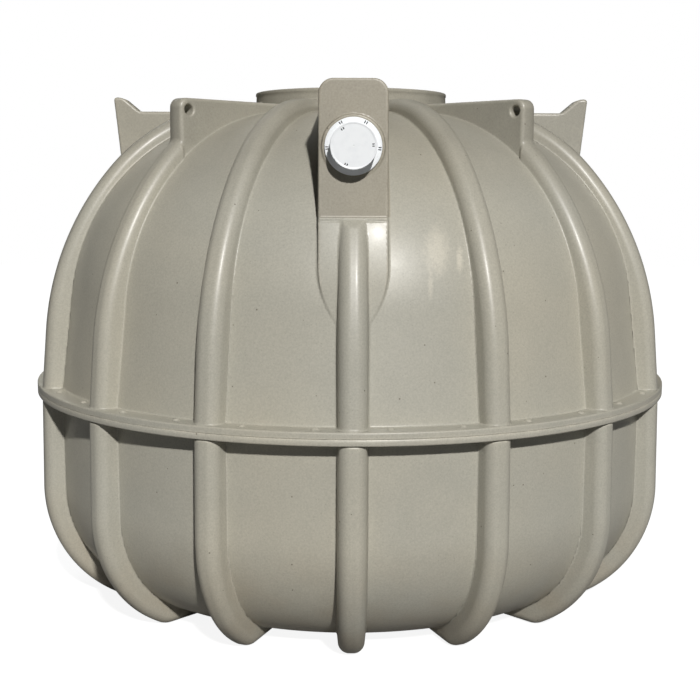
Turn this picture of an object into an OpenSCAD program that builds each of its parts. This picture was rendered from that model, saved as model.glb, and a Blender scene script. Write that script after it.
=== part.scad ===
// Round two-part septic tank of ribbed moulded plastic.
// The tank stands on the ground plane z = 0, its axis is +Z and the inlet faces -Y.

/* [Body] */
// How far the joint flange stands out from the lower half's wall
flange_w = 64; // [62:1:90]
// Thickness of the flange of one half
flange_t = 20; // [12:1:30]
// Radius of the flange's rounded edges
flange_edge = 5; // [2:0.5:8]
// Size of the bevels that leave a groove where the halves meet
seam_bevel = 1.5; // [0.5:0.5:3]
// Height of the joint between the two halves
joint_z = 712; // [690:1:800]
// Thickness of the shell wall
wall = 10; // [6:1:16]
// Number of ribs round each half
rib_count = 16; // [16:8:24]

/* [Lower half] */
// How far the lower half's wall stands out from the foot of the upper half's wall
lower_step = 2.7; // [0:0.1:6]
// Radius of the bottom corner of the lower half
corner_r = 385; // [340:5:420]
// Depth of that corner's centre below the joint
corner_drop = 313; // [300:1:330]
// Radius of the tighter turn from the corner into the flat bottom
heel_r = 110; // [90:5:140]
// Angle below level at which that turn starts
heel_angle = 70; // [66:1:76]
// Depth of the ribs on the lower half
lower_rib_depth = 60; // [50:1:64]
// Angle below level at which a rib turns into its foot
toe_angle = 60; // [57:1:62]
// Distance from the axis at which the feet end
foot_inner_r = 430; // [380:10:560]

/* [Dome] */
// Distance of the dome arc's centre from the axis
dome_centre_r = 335; // [320:1:350]
// Height of that centre above the joint
dome_centre_h = 255; // [240:1:280]
// Radius of the dome arc
dome_r = 662; // [640:1:680]
// Draft angle of the wall under the dome
wall_draft = 7; // [5:0.5:9]
// Depth of the ribs on the dome
upper_rib_depth = 40; // [32:1:46]
// Draft angle of the rib crest under the dome
rib_draft = 9.2; // [8:0.1:11]

/* [Rib section] */
// Width of the rib crest
rib_w = 74; // [64:1:84]
// Radius of the crest's rounded edges
rib_edge_r = 30; // [22:1:32]
// Draft angle of the rib's sides
rib_side_draft = 6; // [2:0.5:9]

/* [Manhole neck] */
// Outer radius of the neck
neck_r = 328; // [310:1:330]
// Wall thickness of the neck
neck_wall = 12; // [10:1:20]
// How far the rim stands out from the neck
rim_lip = 1.5; // [0.5:0.5:6]
// Height of the rim
rim_h = 12; // [6:1:24]
// Radius of the rim's rounded edges
rim_edge = 4; // [1:0.5:5]
// Height of the rim above the dome's top
neck_rise = 79; // [60:1:140]

/* [Pipe blocks] */
// Width of a pipe block
block_w = 195; // [180:1:240]
// How far its face stands out from the dome at the ledge
block_stand = 15; // [9:1:30]
// Height of its top above the dome's top
block_rise = 60; // [45:1:100]
// Radius of the two upper corners of its face
block_corner_r = 35; // [20:1:60]
// Depth of the ledge under its face below the dome's top
ledge_drop = 322; // [290:1:330]
// Thickness of the peak of a block or fin
peak_t = 33; // [25:1:45]
// Slope of the ramp behind the peak
ramp_angle = 40; // [35:1:50]
// Height of the shelf behind the ramp above the dome's top
shelf_rise = 16; // [8:1:28]
// How far the shoulder circle under the face is raised above the dome circle
shoulder_lift = 26; // [14:1:30]
// Depth below the dome's top at which the shoulders fade out
shoulder_end_drop = 597; // [560:1:610]
// Width of the shoulders where they fade out
shoulder_end_w = 120; // [100:1:150]

/* [Side fins] */
// Distance of the top of the fin's face inward from the dome's widest point
fin_inset = 168; // [150:1:200]
// Height of the fin's top above the dome's top
fin_rise = 64; // [40:1:110]
// Lean of the fin's face
fin_lean = 6; // [3:0.5:9]

/* [Lifting lugs] */
// Thickness of a lifting lug
lug_w = 60; // [50:1:72]
// Distance of the lug's nose inward from the dome's widest point
lug_inset = 227; // [210:1:250]
// Height of the lug's top above the dome's top
lug_rise = 29; // [25:1:36]
// Radius of the lug's outer corner
lug_corner_r = 30; // [24:1:40]
// Radius of the eye
eye_r = 16; // [12:1:20]
// Distance of the eye's centre from the nose
eye_inset = 33; // [28:1:45]
// Depth of the eye's centre below the lug's top
eye_drop = 36; // [30:1:44]

/* [Pipe connection] */
// Depth of the pipe's axis below the dome's top
pipe_drop = 127; // [120:1:140]
// Outer radius of the pipe
pipe_r = 55; // [45:0.5:60]
// Wall thickness of the pipe
pipe_wall = 3.2; // [2:0.1:6]
// How far the pipe reaches inward from the block's face
pipe_inward = 258; // [200:1:300]
// Radius of the flat boss round the pipe
boss_r = 88; // [82:1:92]
// Height of the boss
boss_t = 6; // [2:0.5:8]
// Thickness of the rubber seal round the pipe
seal_t = 14; // [10:1:18]
// Outer radius of the seal's collar
collar_r = 76; // [74:1:80]
// Distance of the collar's front from the block's face
collar_front = 16; // [12:1:20]
// Radius of the collar's two lips
lip_r = 2; // [1:0.5:2.5]
// Radius of the cap's rim
cap_rim_r = 80; // [78:1:90]
// Thickness of the cap's rim
cap_rim_t = 6; // [4:1:10]
// Distance of the rim's front from the block's face
cap_reach = 40; // [34:1:50]
// Radius of the cap's raised middle
cap_disc_r = 63; // [60:1:70]
// Radius of the middle's rounded edge
cap_edge = 3; // [1:0.5:4]
// How far the middle stands out from the rim
cap_disc_h = 27; // [20:1:34]
// Thickness of the cap's front
cap_skin = 4; // [2:0.5:6]

/* [Flange bumps] */
// Radius of a bump's foot on the flange
bump_r = 11; // [6:1:14]
// Height of a bump
bump_h = 6; // [3:1:8]
// Distance of the bumps inward from the middle of the flange
bump_inset = 5; // [0:1:10]

/* [Hidden] */
$fn = 64;
// Facets of a full turn on the large round forms
fine = 240;
// Step and angle by which the toe of a lower rib laps into its corner arc
lap = 0.2;
lap_angle = 3;
flange_top = joint_z + flange_t;
flange_bottom = joint_z - flange_t;
dome_c = [dome_centre_r, joint_z + dome_centre_h];
crown = dome_c[1] + dome_r;
widest_r = dome_c[0] + dome_r;
lower_wall_r = round(wall_line_r(joint_z, 0) + lower_step);
flange_r = lower_wall_r + flange_w;
corner_c = [lower_wall_r - corner_r, joint_z - corner_drop];
heel_c = corner_c + (corner_r - heel_r) * [cos(heel_angle), -sin(heel_angle)];
crest_low_r = corner_r + lower_rib_depth;
crest_up_r = dome_r + upper_rib_depth;
toe_r = (corner_c[1] - crest_low_r * sin(toe_angle) + lap) / (1 - sin(toe_angle));
toe_c = corner_c + (crest_low_r - toe_r) * [cos(toe_angle), -sin(toe_angle)];
neck_top = crown + neck_rise;
neck_base = crown - wall;
bump_ring_r = (wall_line_r(flange_top, 0) + flange_r) / 2 - bump_inset;
block_top = crown + block_rise;
ledge_z = crown - ledge_drop;
block_face_r = round(dome_arc_r(ledge_z) + block_stand);
shelf_z = crown + shelf_rise;
shoulder_end_z = crown - shoulder_end_drop;
fin_top = crown + fin_rise;
fin_face_r = widest_r - fin_inset;
lug_top = crown + lug_rise;
lug_nose_r = widest_r - lug_inset;
eye_at = [lug_nose_r - eye_inset, lug_top - eye_drop];
pipe_z = crown - pipe_drop;
seal_r = pipe_r + seal_t;
bay = 360 / rib_count;
// Angles at which the upper ribs end: inside the neck, and a short one behind the ledge
past_top = 94;
past_ledge = 60;
reach = 2 * flange_r;
body_colour = "#b3ad9a";
pipe_colour = "#2b2b2d";
cap_colour = "#f2f4f7";

function ray(a) = [cos(a), sin(a)];
// Radius of the drafted upper wall at height z, moved in by inset
function wall_line_r(z, inset) =
    dome_c[0] + (dome_r - inset - (z - dome_c[1]) * sin(wall_draft)) / cos(wall_draft);
// Radius of the dome's arc at height z
function dome_arc_r(z) = dome_c[0] + sqrt(pow(dome_r, 2) - pow(z - dome_c[1], 2));

// Sector of a disc between two angles at most a right angle apart
module sector(centre, r, a0, a1) {
    intersection() {
        translate(centre) circle(r, $fn = fine);
        polygon([centre, centre + 1.5 * r * ray(a0), centre + 1.5 * r * ray(a1)]);
    }
}

// Half section of everything inside the upper half's surface, down to the joint
module upper_section(inset) {
    r = dome_r - inset;
    tangent = dome_c + r * ray(wall_draft);
    sector(dome_c, r, wall_draft, 90);
    polygon([
        [0, joint_z], [wall_line_r(joint_z, inset), joint_z], tangent, dome_c,
        [dome_c[0], dome_c[1] + r], [0, dome_c[1] + r]
    ]);
}

// Half section of everything inside the lower half's surface, up to the joint
module lower_section(inset) {
    r = corner_r - inset;
    heel = heel_r - inset;
    sector(corner_c, r, -heel_angle, 0);
    sector(heel_c, heel, -90, -heel_angle);
    polygon([
        [0, heel_c[1] - heel], [heel_c[0], heel_c[1] - heel], heel_c,
        corner_c + r * ray(-heel_angle), corner_c, [corner_c[0] + r, corner_c[1]],
        [corner_c[0] + r, joint_z], [0, joint_z]
    ]);
}

module upper_body() {
    rotate_extrude($fn = fine) upper_section(0);
}

module lower_body() {
    rotate_extrude($fn = fine) lower_section(0);
}

// Section of one half's flange, drawn upward from the joint and out from inner
module flange_section(inner) {
    edge_h = flange_t - flange_edge;
    translate([flange_r - flange_edge, edge_h]) circle(flange_edge);
    polygon([
        [inner, 0], [flange_r - seam_bevel, 0], [flange_r, seam_bevel], [flange_r, edge_h],
        [flange_r - flange_edge, flange_t], [inner, flange_t]
    ]);
}

// Places its children, drawn facing +X, at a rib position counted from the front
module at_rib(i) {
    rotate([0, 0, i * bay - 90]) children();
}

// Turns a drawing in X and Y into one in X and Z
module upright() {
    rotate([90, 0, 0]) children();
}

// Section of a rib whose crest lies at x = crest: rounded edges and drafted sides
module rib_section(crest, depth, inset = 0) {
    half = rib_w / 2 - inset;
    lean = tan(rib_side_draft);
    edge_y = half + rib_edge_r * lean - rib_edge_r / cos(rib_side_draft);
    side = [crest - rib_edge_r, edge_y] + rib_edge_r * [sin(rib_side_draft), cos(rib_side_draft)];
    base = half + depth * lean;
    for (s = [-1, 1])
        translate([crest - rib_edge_r, s * edge_y]) circle(rib_edge_r);
    polygon([
        [crest - depth, -base], [side[0], -side[1]], [crest, -edge_y],
        [crest, edge_y], [side[0], side[1]], [crest - depth, base]
    ]);
}

// Rib swept round an arc about the origin, from angle a0 to a1
module rib_arc(crest, depth, a0, a1, inset = 0) {
    upright() rotate_extrude(angle = a1 - a0, start = a0, $fn = fine)
        rib_section(crest - inset, depth - inset, inset);
}

// Upper rib before the shell is cut from it: a straight run and an arc, both leaned by the draft
module upper_rib_raw(end_angle) {
    depth = 2 * upper_rib_depth + wall;
    run = dome_centre_h + upper_rib_depth + crest_up_r * sin(rib_draft);
    translate([dome_c[0], 0, dome_c[1]]) rotate([0, -rib_draft, 0]) {
        rib_arc(crest_up_r, depth, 0, end_angle - rib_draft);
        translate([0, 0, -run]) linear_extrude(run) rib_section(crest_up_r, depth);
    }
}

// Cuts away everything that an upper piece shares with the shell, flange and neck
module fit_to_upper() {
    difference() {
        children();
        upper_body();
        cylinder(r = reach, h = flange_top);
        cylinder(r = neck_r, h = reach, $fn = fine);
    }
}

// Plate in the rib's own plane, as wide as given, from an outline in X and Z
module fin(width) {
    upright() linear_extrude(width, center = true) children();
}

module plain_upper_rib() {
    fit_to_upper() upper_rib_raw(past_top);
}

// Rib under a pipe block, cut off under the ledge
module short_upper_rib() {
    fit_to_upper() intersection() {
        upper_rib_raw(past_ledge);
        fin(2 * rib_w) short_rib_outline();
    }
}

module short_rib_outline() {
    slope = crest_up_r - dome_r;
    polygon([
        [0, 0], [reach, 0], [reach, ledge_z - slope],
        [block_face_r + 2 * slope, ledge_z - slope], [block_face_r, ledge_z], [0, ledge_z]
    ]);
}

module lifting_rib() {
    difference() {
        fit_to_upper() {
            upper_rib_raw(past_top);
            fin(lug_w) lug_outline();
        }
        translate([eye_at[0], 0, eye_at[1]]) upright()
            cylinder(r = eye_r, h = 2 * lug_w, center = true);
    }
}

module lug_outline() {
    corner = [lug_nose_r - lug_corner_r, lug_top - lug_corner_r];
    sector(corner, lug_corner_r, 0, 90);
    polygon([
        [0, dome_c[1]], [lug_nose_r, dome_c[1]], [lug_nose_r, corner[1]], corner,
        [corner[0], lug_top], [0, lug_top]
    ]);
}

module fin_rib() {
    fit_to_upper() {
        upper_rib_raw(past_top);
        fin(rib_w) fin_outline();
    }
}

module fin_outline() {
    ramp_end = fin_face_r - peak_t - (fin_top - shelf_z) / tan(ramp_angle);
    foot_r = fin_face_r - (fin_top - dome_c[1]) * tan(fin_lean);
    polygon([
        [0, dome_c[1]], [foot_r, dome_c[1]], [fin_face_r, fin_top], [fin_face_r - peak_t, fin_top],
        [ramp_end, shelf_z], [0, shelf_z]
    ]);
}

// Pipe block with its shoulders, bored for the seal
module pipe_block() {
    difference() {
        fit_to_upper() {
            intersection() {
                fin(block_w) block_outline();
                block_front();
            }
            shoulders();
            along_pipe(block_face_r) boss_section();
        }
        pipe_hole(seal_r);
    }
}

module block_outline() {
    ramp_end = block_face_r - peak_t - (block_top - shelf_z) / tan(ramp_angle);
    polygon([
        [0, ledge_z], [block_face_r, ledge_z], [block_face_r, block_top],
        [block_face_r - peak_t, block_top], [ramp_end, shelf_z], [0, shelf_z]
    ]);
}

// Everything behind the face's outline: a plate with two rounded upper corners
module block_front() {
    half = block_w / 2;
    c = block_corner_r;
    rotate([90, 0, 90]) linear_extrude(reach) {
        for (s = [-1, 1])
            translate([s * (half - c), block_top - c]) circle(c);
        polygon([
            [-half, 0], [half, 0], [half, block_top - c], [half - c, block_top],
            [c - half, block_top], [-half, block_top - c]
        ]);
    }
}

// Band under the face, between the dome and a circle raised above it, that fades out
module shoulders() {
    half = block_w / 2;
    end = shoulder_end_w / 2;
    mid_z = (ledge_z + shoulder_end_z) / 2;
    intersection() {
        translate([0, 0, shoulder_lift]) upper_body();
        rotate([90, 0, 90]) linear_extrude(reach) polygon([
            [-half, ledge_z], [-half, mid_z], [-end, shoulder_end_z],
            [end, shoulder_end_z], [half, mid_z], [half, ledge_z]
        ]);
    }
}

module pipe_hole(r) {
    translate([0, 0, pipe_z]) rotate([0, 90, 0]) cylinder(r = r, h = reach);
}

// Turns a section about the pipe's axis, with its heights measured outward from x0
module along_pipe(x0) {
    translate([x0, 0, pipe_z]) rotate([0, 90, 0]) rotate_extrude($fn = 128) children();
}

module boss_section() {
    edge = boss_t / 2;
    translate([boss_r - edge, boss_t - edge]) circle(edge);
    polygon([[0, -wall], [boss_r, -wall], [boss_r, edge], [boss_r - edge, boss_t], [0, boss_t]]);
}

// Lower rib: a straight run and a corner arc, then a tighter toe arc and a flat foot
module lower_rib() {
    depth = toe_r - lap;
    foot = toe_c[0] - foot_inner_r;
    difference() {
        union() {
            translate([corner_c[0], 0, corner_c[1]]) {
                rib_arc(crest_low_r, depth, -toe_angle, 0);
                linear_extrude(corner_drop) rib_section(crest_low_r, depth);
            }
            translate([toe_c[0], 0, toe_c[1]]) {
                rib_arc(toe_r, depth, -90, lap_angle - toe_angle, lap);
                rotate([0, 90, 0]) translate([0, 0, -foot]) linear_extrude(foot)
                    rib_section(toe_r - lap, depth - lap, lap);
            }
        }
        lower_body();
        translate([0, 0, flange_bottom]) cylinder(r = reach, h = reach);
    }
}

module lower_shell() {
    color(body_colour) rotate_extrude($fn = fine) {
        difference() {
            lower_section(0);
            lower_section(wall);
        }
        translate([0, joint_z]) mirror([0, 1]) flange_section(lower_wall_r - wall / 2);
    }
}

module upper_shell() {
    color(body_colour) difference() {
        union() {
            rotate_extrude($fn = fine) {
                difference() {
                    upper_section(0);
                    upper_section(wall);
                }
                translate([0, joint_z]) flange_section(wall_line_r(flange_top, wall / 2));
            }
            bumps();
        }
        cylinder(r = neck_r, h = reach, $fn = fine);
        for (side = [0, rib_count / 2])
            at_rib(side) pipe_hole(seal_r);
    }
}

// Domed bumps on top of the flange, two to a bay
module bumps() {
    sphere_r = (bump_r * bump_r + bump_h * bump_h) / (2 * bump_h);
    for (i = [0 : 2 * rib_count - 1])
        rotate([0, 0, (i + 0.5) * bay / 2]) translate([bump_ring_r, 0, flange_top])
            intersection() {
                translate([0, 0, bump_h - sphere_r]) sphere(sphere_r, $fn = 24);
                cylinder(r = 2 * bump_r, h = 3 * bump_h, center = true, $fn = 24);
            }
}

// Neck with a slim rim whose edges are rounded
module manhole_neck() {
    inner = neck_r - neck_wall;
    lip = neck_r + rim_lip;
    color(body_colour) rotate_extrude($fn = fine) {
        for (r = [inner + rim_edge, lip - rim_edge])
            translate([r, neck_top - rim_edge]) circle(rim_edge);
        polygon([
            [inner, neck_base], [neck_r, neck_base], [neck_r, neck_top - rim_h - rim_lip],
            [lip, neck_top - rim_h], [lip, neck_top - rim_edge], [lip - rim_edge, neck_top],
            [inner + rim_edge, neck_top], [inner, neck_top - rim_edge]
        ]);
    }
}

module pipe() {
    end = cap_reach + cap_disc_h - cap_skin;
    color(pipe_colour) along_pipe(block_face_r) polygon([
        [pipe_r - pipe_wall, -pipe_inward], [pipe_r, -pipe_inward],
        [pipe_r, end], [pipe_r - pipe_wall, end]
    ]);
}

// Rubber sleeve in the bore, with a collar of two rounded lips on the boss
module seal() {
    color(pipe_colour) along_pipe(block_face_r) {
        for (h = [boss_t + lip_r, collar_front - lip_r])
            translate([collar_r - lip_r, h]) circle(lip_r);
        polygon([
            [pipe_r, -2 * seal_t], [seal_r, -2 * seal_t], [seal_r, boss_t], [collar_r - lip_r, boss_t],
            [collar_r - lip_r, collar_front], [pipe_r, collar_front]
        ]);
    }
}

// Push-on cap: a skirt round the pipe's end, a rounded rim and a raised middle
module cap() {
    rim_edge_r = cap_rim_t / 2;
    rim_mid = cap_reach - rim_edge_r;
    top = cap_reach + cap_disc_h;
    color(cap_colour) along_pipe(block_face_r) {
        translate([cap_rim_r - rim_edge_r, rim_mid]) circle(rim_edge_r);
        translate([cap_disc_r - cap_edge, top - cap_edge]) circle(cap_edge);
        polygon([
            [pipe_r, collar_front], [cap_disc_r, collar_front], [cap_disc_r, cap_reach - cap_rim_t],
            [cap_rim_r - rim_edge_r, cap_reach - cap_rim_t], [cap_rim_r - rim_edge_r, cap_reach],
            [cap_disc_r, cap_reach], [cap_disc_r, top - cap_edge], [cap_disc_r - cap_edge, top],
            [0, top], [0, top - cap_skin], [pipe_r, top - cap_skin]
        ]);
    }
}

// Upper rib number i, counted from the front
module upper_rib(i) {
    quarter = rib_count / 4;
    eighth = rib_count / 8;
    color(body_colour) at_rib(i) {
        if (i % (2 * quarter) == 0) short_upper_rib();
        else if (i % quarter == 0) fin_rib();
        else if (i % eighth == 0) lifting_rib();
        else plain_upper_rib();
    }
}

lower_shell();
upper_shell();
manhole_neck();
color(body_colour) at_rib(0) pipe_block();  // inlet_block
color(body_colour) at_rib(rib_count / 2) pipe_block();  // outlet_block
at_rib(0) pipe();  // inlet_pipe
at_rib(0) seal();  // inlet_seal
at_rib(0) cap();  // inlet_cap
at_rib(rib_count / 2) pipe();  // outlet_pipe
at_rib(rib_count / 2) seal();  // outlet_seal
at_rib(rib_count / 2) cap();  // outlet_cap
for (i = [0 : rib_count - 1]) {
    name = str(i < 9 ? "0" : "", i + 1);
    upper_rib(i);
    color(body_colour) at_rib(i) lower_rib();
}
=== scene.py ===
"""Looks of a round septic tank of ribbed, rotationally moulded plastic.

The tank stands on z = 0, its axis is +Z and its inlet faces -Y. Sizes are in metres. The moulded skin is
described by distance fields: each form is a field that is negative inside. Forms are joined with rounded
hollows and cut with rounded edges, as a mould does it. Each rib is worked out in its own frame, where X
points away from the tank's axis, and is then turned to its place.
"""

from __future__ import annotations

import logging
import math
from dataclasses import dataclass, field
from enum import Enum
from typing import Callable, Sequence

import bpy
import numpy as np
from mathutils import Euler, Matrix, Vector

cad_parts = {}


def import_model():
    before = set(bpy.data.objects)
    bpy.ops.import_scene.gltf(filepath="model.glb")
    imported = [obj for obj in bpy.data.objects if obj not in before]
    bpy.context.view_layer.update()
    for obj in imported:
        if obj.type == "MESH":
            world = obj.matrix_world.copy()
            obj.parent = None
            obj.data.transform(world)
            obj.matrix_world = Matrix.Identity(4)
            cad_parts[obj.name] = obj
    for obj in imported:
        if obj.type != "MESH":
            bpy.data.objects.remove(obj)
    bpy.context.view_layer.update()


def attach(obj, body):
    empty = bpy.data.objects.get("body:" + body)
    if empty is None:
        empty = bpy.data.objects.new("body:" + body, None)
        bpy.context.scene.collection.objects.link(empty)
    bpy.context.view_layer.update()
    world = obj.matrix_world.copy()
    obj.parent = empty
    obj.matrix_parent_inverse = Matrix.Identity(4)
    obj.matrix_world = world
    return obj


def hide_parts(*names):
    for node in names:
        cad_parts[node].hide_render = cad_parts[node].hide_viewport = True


log = logging.getLogger("septic_tank")

Field = Callable[[np.ndarray], np.ndarray]
Profile = Callable[[np.ndarray, np.ndarray], np.ndarray]
Pair = tuple[float, float]
Triple = tuple[float, float, float]
Colour = tuple[float, float, float, float]
Box = tuple[Triple, Triple]
Socket = bpy.types.NodeSocket


# ---------------------------------------------------------------------------------------------------------
# Distance fields
# ---------------------------------------------------------------------------------------------------------


def fillet(a: np.ndarray, b: np.ndarray, radius: float) -> np.ndarray:
    """Join two forms with a rounded hollow between them.

    Args:
        a: Distances to the first form.
        b: Distances to the second form.
        radius: Radius of the hollow.

    Returns:
        Distances to the joined form.
    """
    hollow = np.hypot(np.maximum(radius - a, 0), np.maximum(radius - b, 0))
    return np.maximum(radius, np.minimum(a, b)) - hollow


def rounded(a: np.ndarray, b: np.ndarray, radius: float) -> np.ndarray:
    """Keep what two forms share, with a rounded edge where they meet.

    Args:
        a: Distances to the first form.
        b: Distances to the second form.
        radius: Radius of the edge.

    Returns:
        Distances to the shared form.
    """
    edge = np.hypot(np.maximum(radius + a, 0), np.maximum(radius + b, 0))
    return np.minimum(-radius, np.maximum(a, b)) + edge


def drafted_arc(r: np.ndarray, z: np.ndarray, centre: Pair, radius: float, draft: float) -> np.ndarray:
    """Measure to a dome profile: flat to the arc's centre, the arc, then a straight drafted wall down.

    Args:
        r: Distances from the axis.
        z: Heights.
        centre: Distance from the axis and height of the arc's centre.
        radius: Radius of the arc.
        draft: Angle of the wall in radians, at which the arc ends.

    Returns:
        Signed distances to the profile.
    """
    dr, dz = r - centre[0], z - centre[1]
    arc = np.hypot(np.maximum(dr, 0), dz) - radius
    wall = dr * math.cos(draft) + dz * math.sin(draft) - radius
    under = dz * math.cos(draft) < dr * math.sin(draft)
    return np.where(under | (dz < 0), wall, arc)


def about_axis(profile: Profile) -> Field:
    """The field of a profile that is turned about the tank's axis."""
    return lambda p: profile(np.hypot(p[:, 0], p[:, 1]), p[:, 2])


@dataclass(frozen=True)
class Blends:
    """Radii of the mould's hollows and edges."""

    rib_foot: float = 0.004
    flange_foot: float = 0.005
    flange_edge: float = 0.005
    neck_foot: float = 0.012
    plate_foot: float = 0.006
    plate_edge: float = 0.009
    block_edge: float = 0.005
    block_foot: float = 0.007
    eye_edge: float = 0.007


@dataclass(frozen=True)
class TankForm:
    """Sizes of the tank's profiles and the distance fields made from them."""

    flange_r: float = 1.100
    flange_t: float = 0.020
    joint_z: float = 0.712
    wall: float = 0.010
    rib_count: int = 16
    # Lower half
    lower_wall_r: float = 1.036
    corner_r: float = 0.385
    corner_drop: float = 0.313
    heel_r: float = 0.110
    heel_angle: float = math.radians(70)
    lower_rib_depth: float = 0.0635
    lower_rib_lean: float = math.radians(1)
    lower_rib_gap: float = 0.001
    toe_angle: float = math.radians(60)
    foot_inner_r: float = 0.430
    # Dome
    dome_centre_r: float = 0.340
    dome_centre_h: float = 0.255
    dome_r: float = 0.662
    wall_draft: float = math.radians(7)
    crest_centre_r: float = 0.150
    crest_centre_h: float = 0.129
    crest_r: float = 0.930
    crest_draft: float = math.radians(5)
    crest_top_h: float = 0.957
    crest_turn: float = math.radians(42)
    # Rib section
    rib_w: float = 0.074
    rib_edge_r: float = 0.030
    rib_side_draft: float = math.radians(6)
    plate_draft: float = math.radians(1)
    # Neck
    neck_r: float = 0.331
    neck_wall: float = 0.012
    neck_top_h: float = 0.996
    neck_draft: float = math.radians(2.5)
    blends: Blends = field(default_factory=Blends)

    @property
    def flange_top(self) -> float:
        """Height of the flange's upper face."""
        return self.joint_z + self.flange_t

    @property
    def flange_bottom(self) -> float:
        """Height of the flange's lower face."""
        return self.joint_z - self.flange_t

    @property
    def dome_centre(self) -> Pair:
        """Distance from the axis and height of the dome arc's centre."""
        return self.dome_centre_r, self.joint_z + self.dome_centre_h

    @property
    def corner_centre(self) -> Pair:
        """Distance from the axis and height of the bottom corner's centre."""
        return self.lower_wall_r - self.corner_r, self.joint_z - self.corner_drop

    @property
    def heel_centre(self) -> Pair:
        """Centre of the tighter turn from the bottom corner into the flat bottom.

        Returns:
            Distance from the axis and height.
        """
        reach = self.corner_r - self.heel_r
        r, z = self.corner_centre
        return r + reach * math.cos(self.heel_angle), z - reach * math.sin(self.heel_angle)

    @property
    def bottom_z(self) -> float:
        """Height of the shell's flat bottom."""
        return self.heel_centre[1] - self.heel_r

    @property
    def low_crest_r(self) -> float:
        """Radius of the lower rib's crest round the bottom corner."""
        return self.corner_r + self.lower_rib_depth

    @property
    def crest_shoulder(self) -> Triple:
        """Distance from the axis, height and radius of an upper crest's tighter arc towards the neck.

        Returns:
            Distance from the axis and height of the arc's centre, and its radius.
        """
        rise = math.sin(self.crest_turn)
        radius = (self.crest_top_h - self.crest_centre_h - self.crest_r * rise) / (1 - rise)
        reach = self.crest_r - radius
        height = self.joint_z + self.crest_centre_h
        return self.crest_centre_r + reach * math.cos(self.crest_turn), height + reach * rise, radius

    @property
    def toe(self) -> Triple:
        """Distance from the axis, height and radius of the arc that turns a lower rib into its foot.

        Returns:
            Distance from the axis and height of the arc's centre, and its radius.
        """
        r, z = self.corner_centre
        radius = (z - self.low_crest_r * math.sin(self.toe_angle)) / (1 - math.sin(self.toe_angle))
        reach = self.low_crest_r - radius
        return r + reach * math.cos(self.toe_angle), z - reach * math.sin(self.toe_angle), radius

    def upper_body(self, r: np.ndarray, z: np.ndarray) -> np.ndarray:
        """Signed distances to the upper half's outer surface, without its flange."""
        return drafted_arc(r, z, self.dome_centre, self.dome_r, self.wall_draft)

    def upper_base(self, r: np.ndarray, z: np.ndarray) -> np.ndarray:
        """Signed distances to the upper half with its flange and neck.

        Args:
            r: Distances from the axis.
            z: Heights.

        Returns:
            Signed distances, one for each place.
        """
        flange = rounded(r - self.flange_r, z - self.flange_top, self.blends.flange_edge)
        drop = self.joint_z + self.neck_top_h - z
        neck = rounded(r - self.neck_side(drop), -drop, self.blends.flange_edge)
        body = fillet(self.upper_body(r, z), flange, self.blends.flange_foot)
        return fillet(body, neck, self.blends.neck_foot)

    def neck_side(self, drop: np.ndarray | float) -> np.ndarray | float:
        """Radius of the neck at a depth below its rim."""
        return self.neck_r + drop * math.tan(self.neck_draft)

    def bowl(
        self,
        r: np.ndarray,
        z: np.ndarray,
        wall: np.ndarray,
        radius: float,
        turn: Triple,
        start: float,
        floor: float,
    ) -> np.ndarray:
        """Measure to a profile of the lower half: a wall, the corner's arc, a tighter turn and a flat.

        Args:
            r: Distances from the axis.
            z: Heights.
            wall: Distances outward from the wall above the corner.
            radius: Radius of the corner's arc.
            turn: Distance from the axis, height and radius of the tighter turn.
            start: Angle below level at which that turn starts, in radians.
            floor: Height of the flat.

        Returns:
            Signed distances to the profile.
        """
        corner = self.corner_centre
        bend = np.hypot(r - corner[0], z - corner[1]) - radius
        tight = np.hypot(r - turn[0], z - turn[1]) - turn[2]
        angle = np.arctan2(corner[1] - z, r - corner[0])
        outer = np.where(z > corner[1], wall, bend)
        inner = np.where(r > turn[0], tight, floor - z)
        return np.where((angle > start) & (z < corner[1]), inner, outer)

    def lower_body(self, r: np.ndarray, z: np.ndarray) -> np.ndarray:
        """Signed distances to the lower half's outer surface, without its flange."""
        heel = (*self.heel_centre, self.heel_r)
        return self.bowl(r, z, r - self.lower_wall_r, self.corner_r, heel, self.heel_angle, self.bottom_z)

    def lower_base(self, r: np.ndarray, z: np.ndarray) -> np.ndarray:
        """Signed distances to the lower half with its flange."""
        flange = rounded(r - self.flange_r, self.flange_bottom - z, self.blends.flange_edge)
        return fillet(self.lower_body(r, z), flange, self.blends.flange_foot)

    def rib_section(self, outward: np.ndarray, y: np.ndarray) -> np.ndarray:
        """Signed distances to a rib's section.

        Args:
            outward: Distances outward from the crest.
            y: Distances sideways from the rib's middle.

        Returns:
            Signed distances to the drafted section with its rounded edges.
        """
        lean = math.tan(self.rib_side_draft)
        side = (np.abs(y) + np.minimum(outward, 0) * lean - self.rib_w / 2) * math.cos(self.rib_side_draft)
        return rounded(outward, side, self.rib_edge_r)

    def plated_rib(
        self, p: np.ndarray, outline: np.ndarray, width: float, top: float, end: float = 0.0
    ) -> np.ndarray:
        """Signed distances to an upper rib with a plate standing on it, in the rib's frame.

        Args:
            p: Places to measure from.
            outline: Distances to the plate's outline seen from the side.
            width: Thickness of the plate at its top.
            top: Height of the plate's top.
            end: Distance from the axis at which the rib ends inside the plate.

        Returns:
            Signed distances to the rib and the plate together.
        """
        side = np.abs(p[:, 1]) - width / 2 - (top - p[:, 2]) * math.tan(self.plate_draft)
        plate = rounded(outline, side, self.blends.plate_edge)
        rib = rounded(self.upper_rib(p), end - p[:, 0], self.blends.plate_edge)
        return fillet(rib, plate, self.blends.plate_foot)

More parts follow.
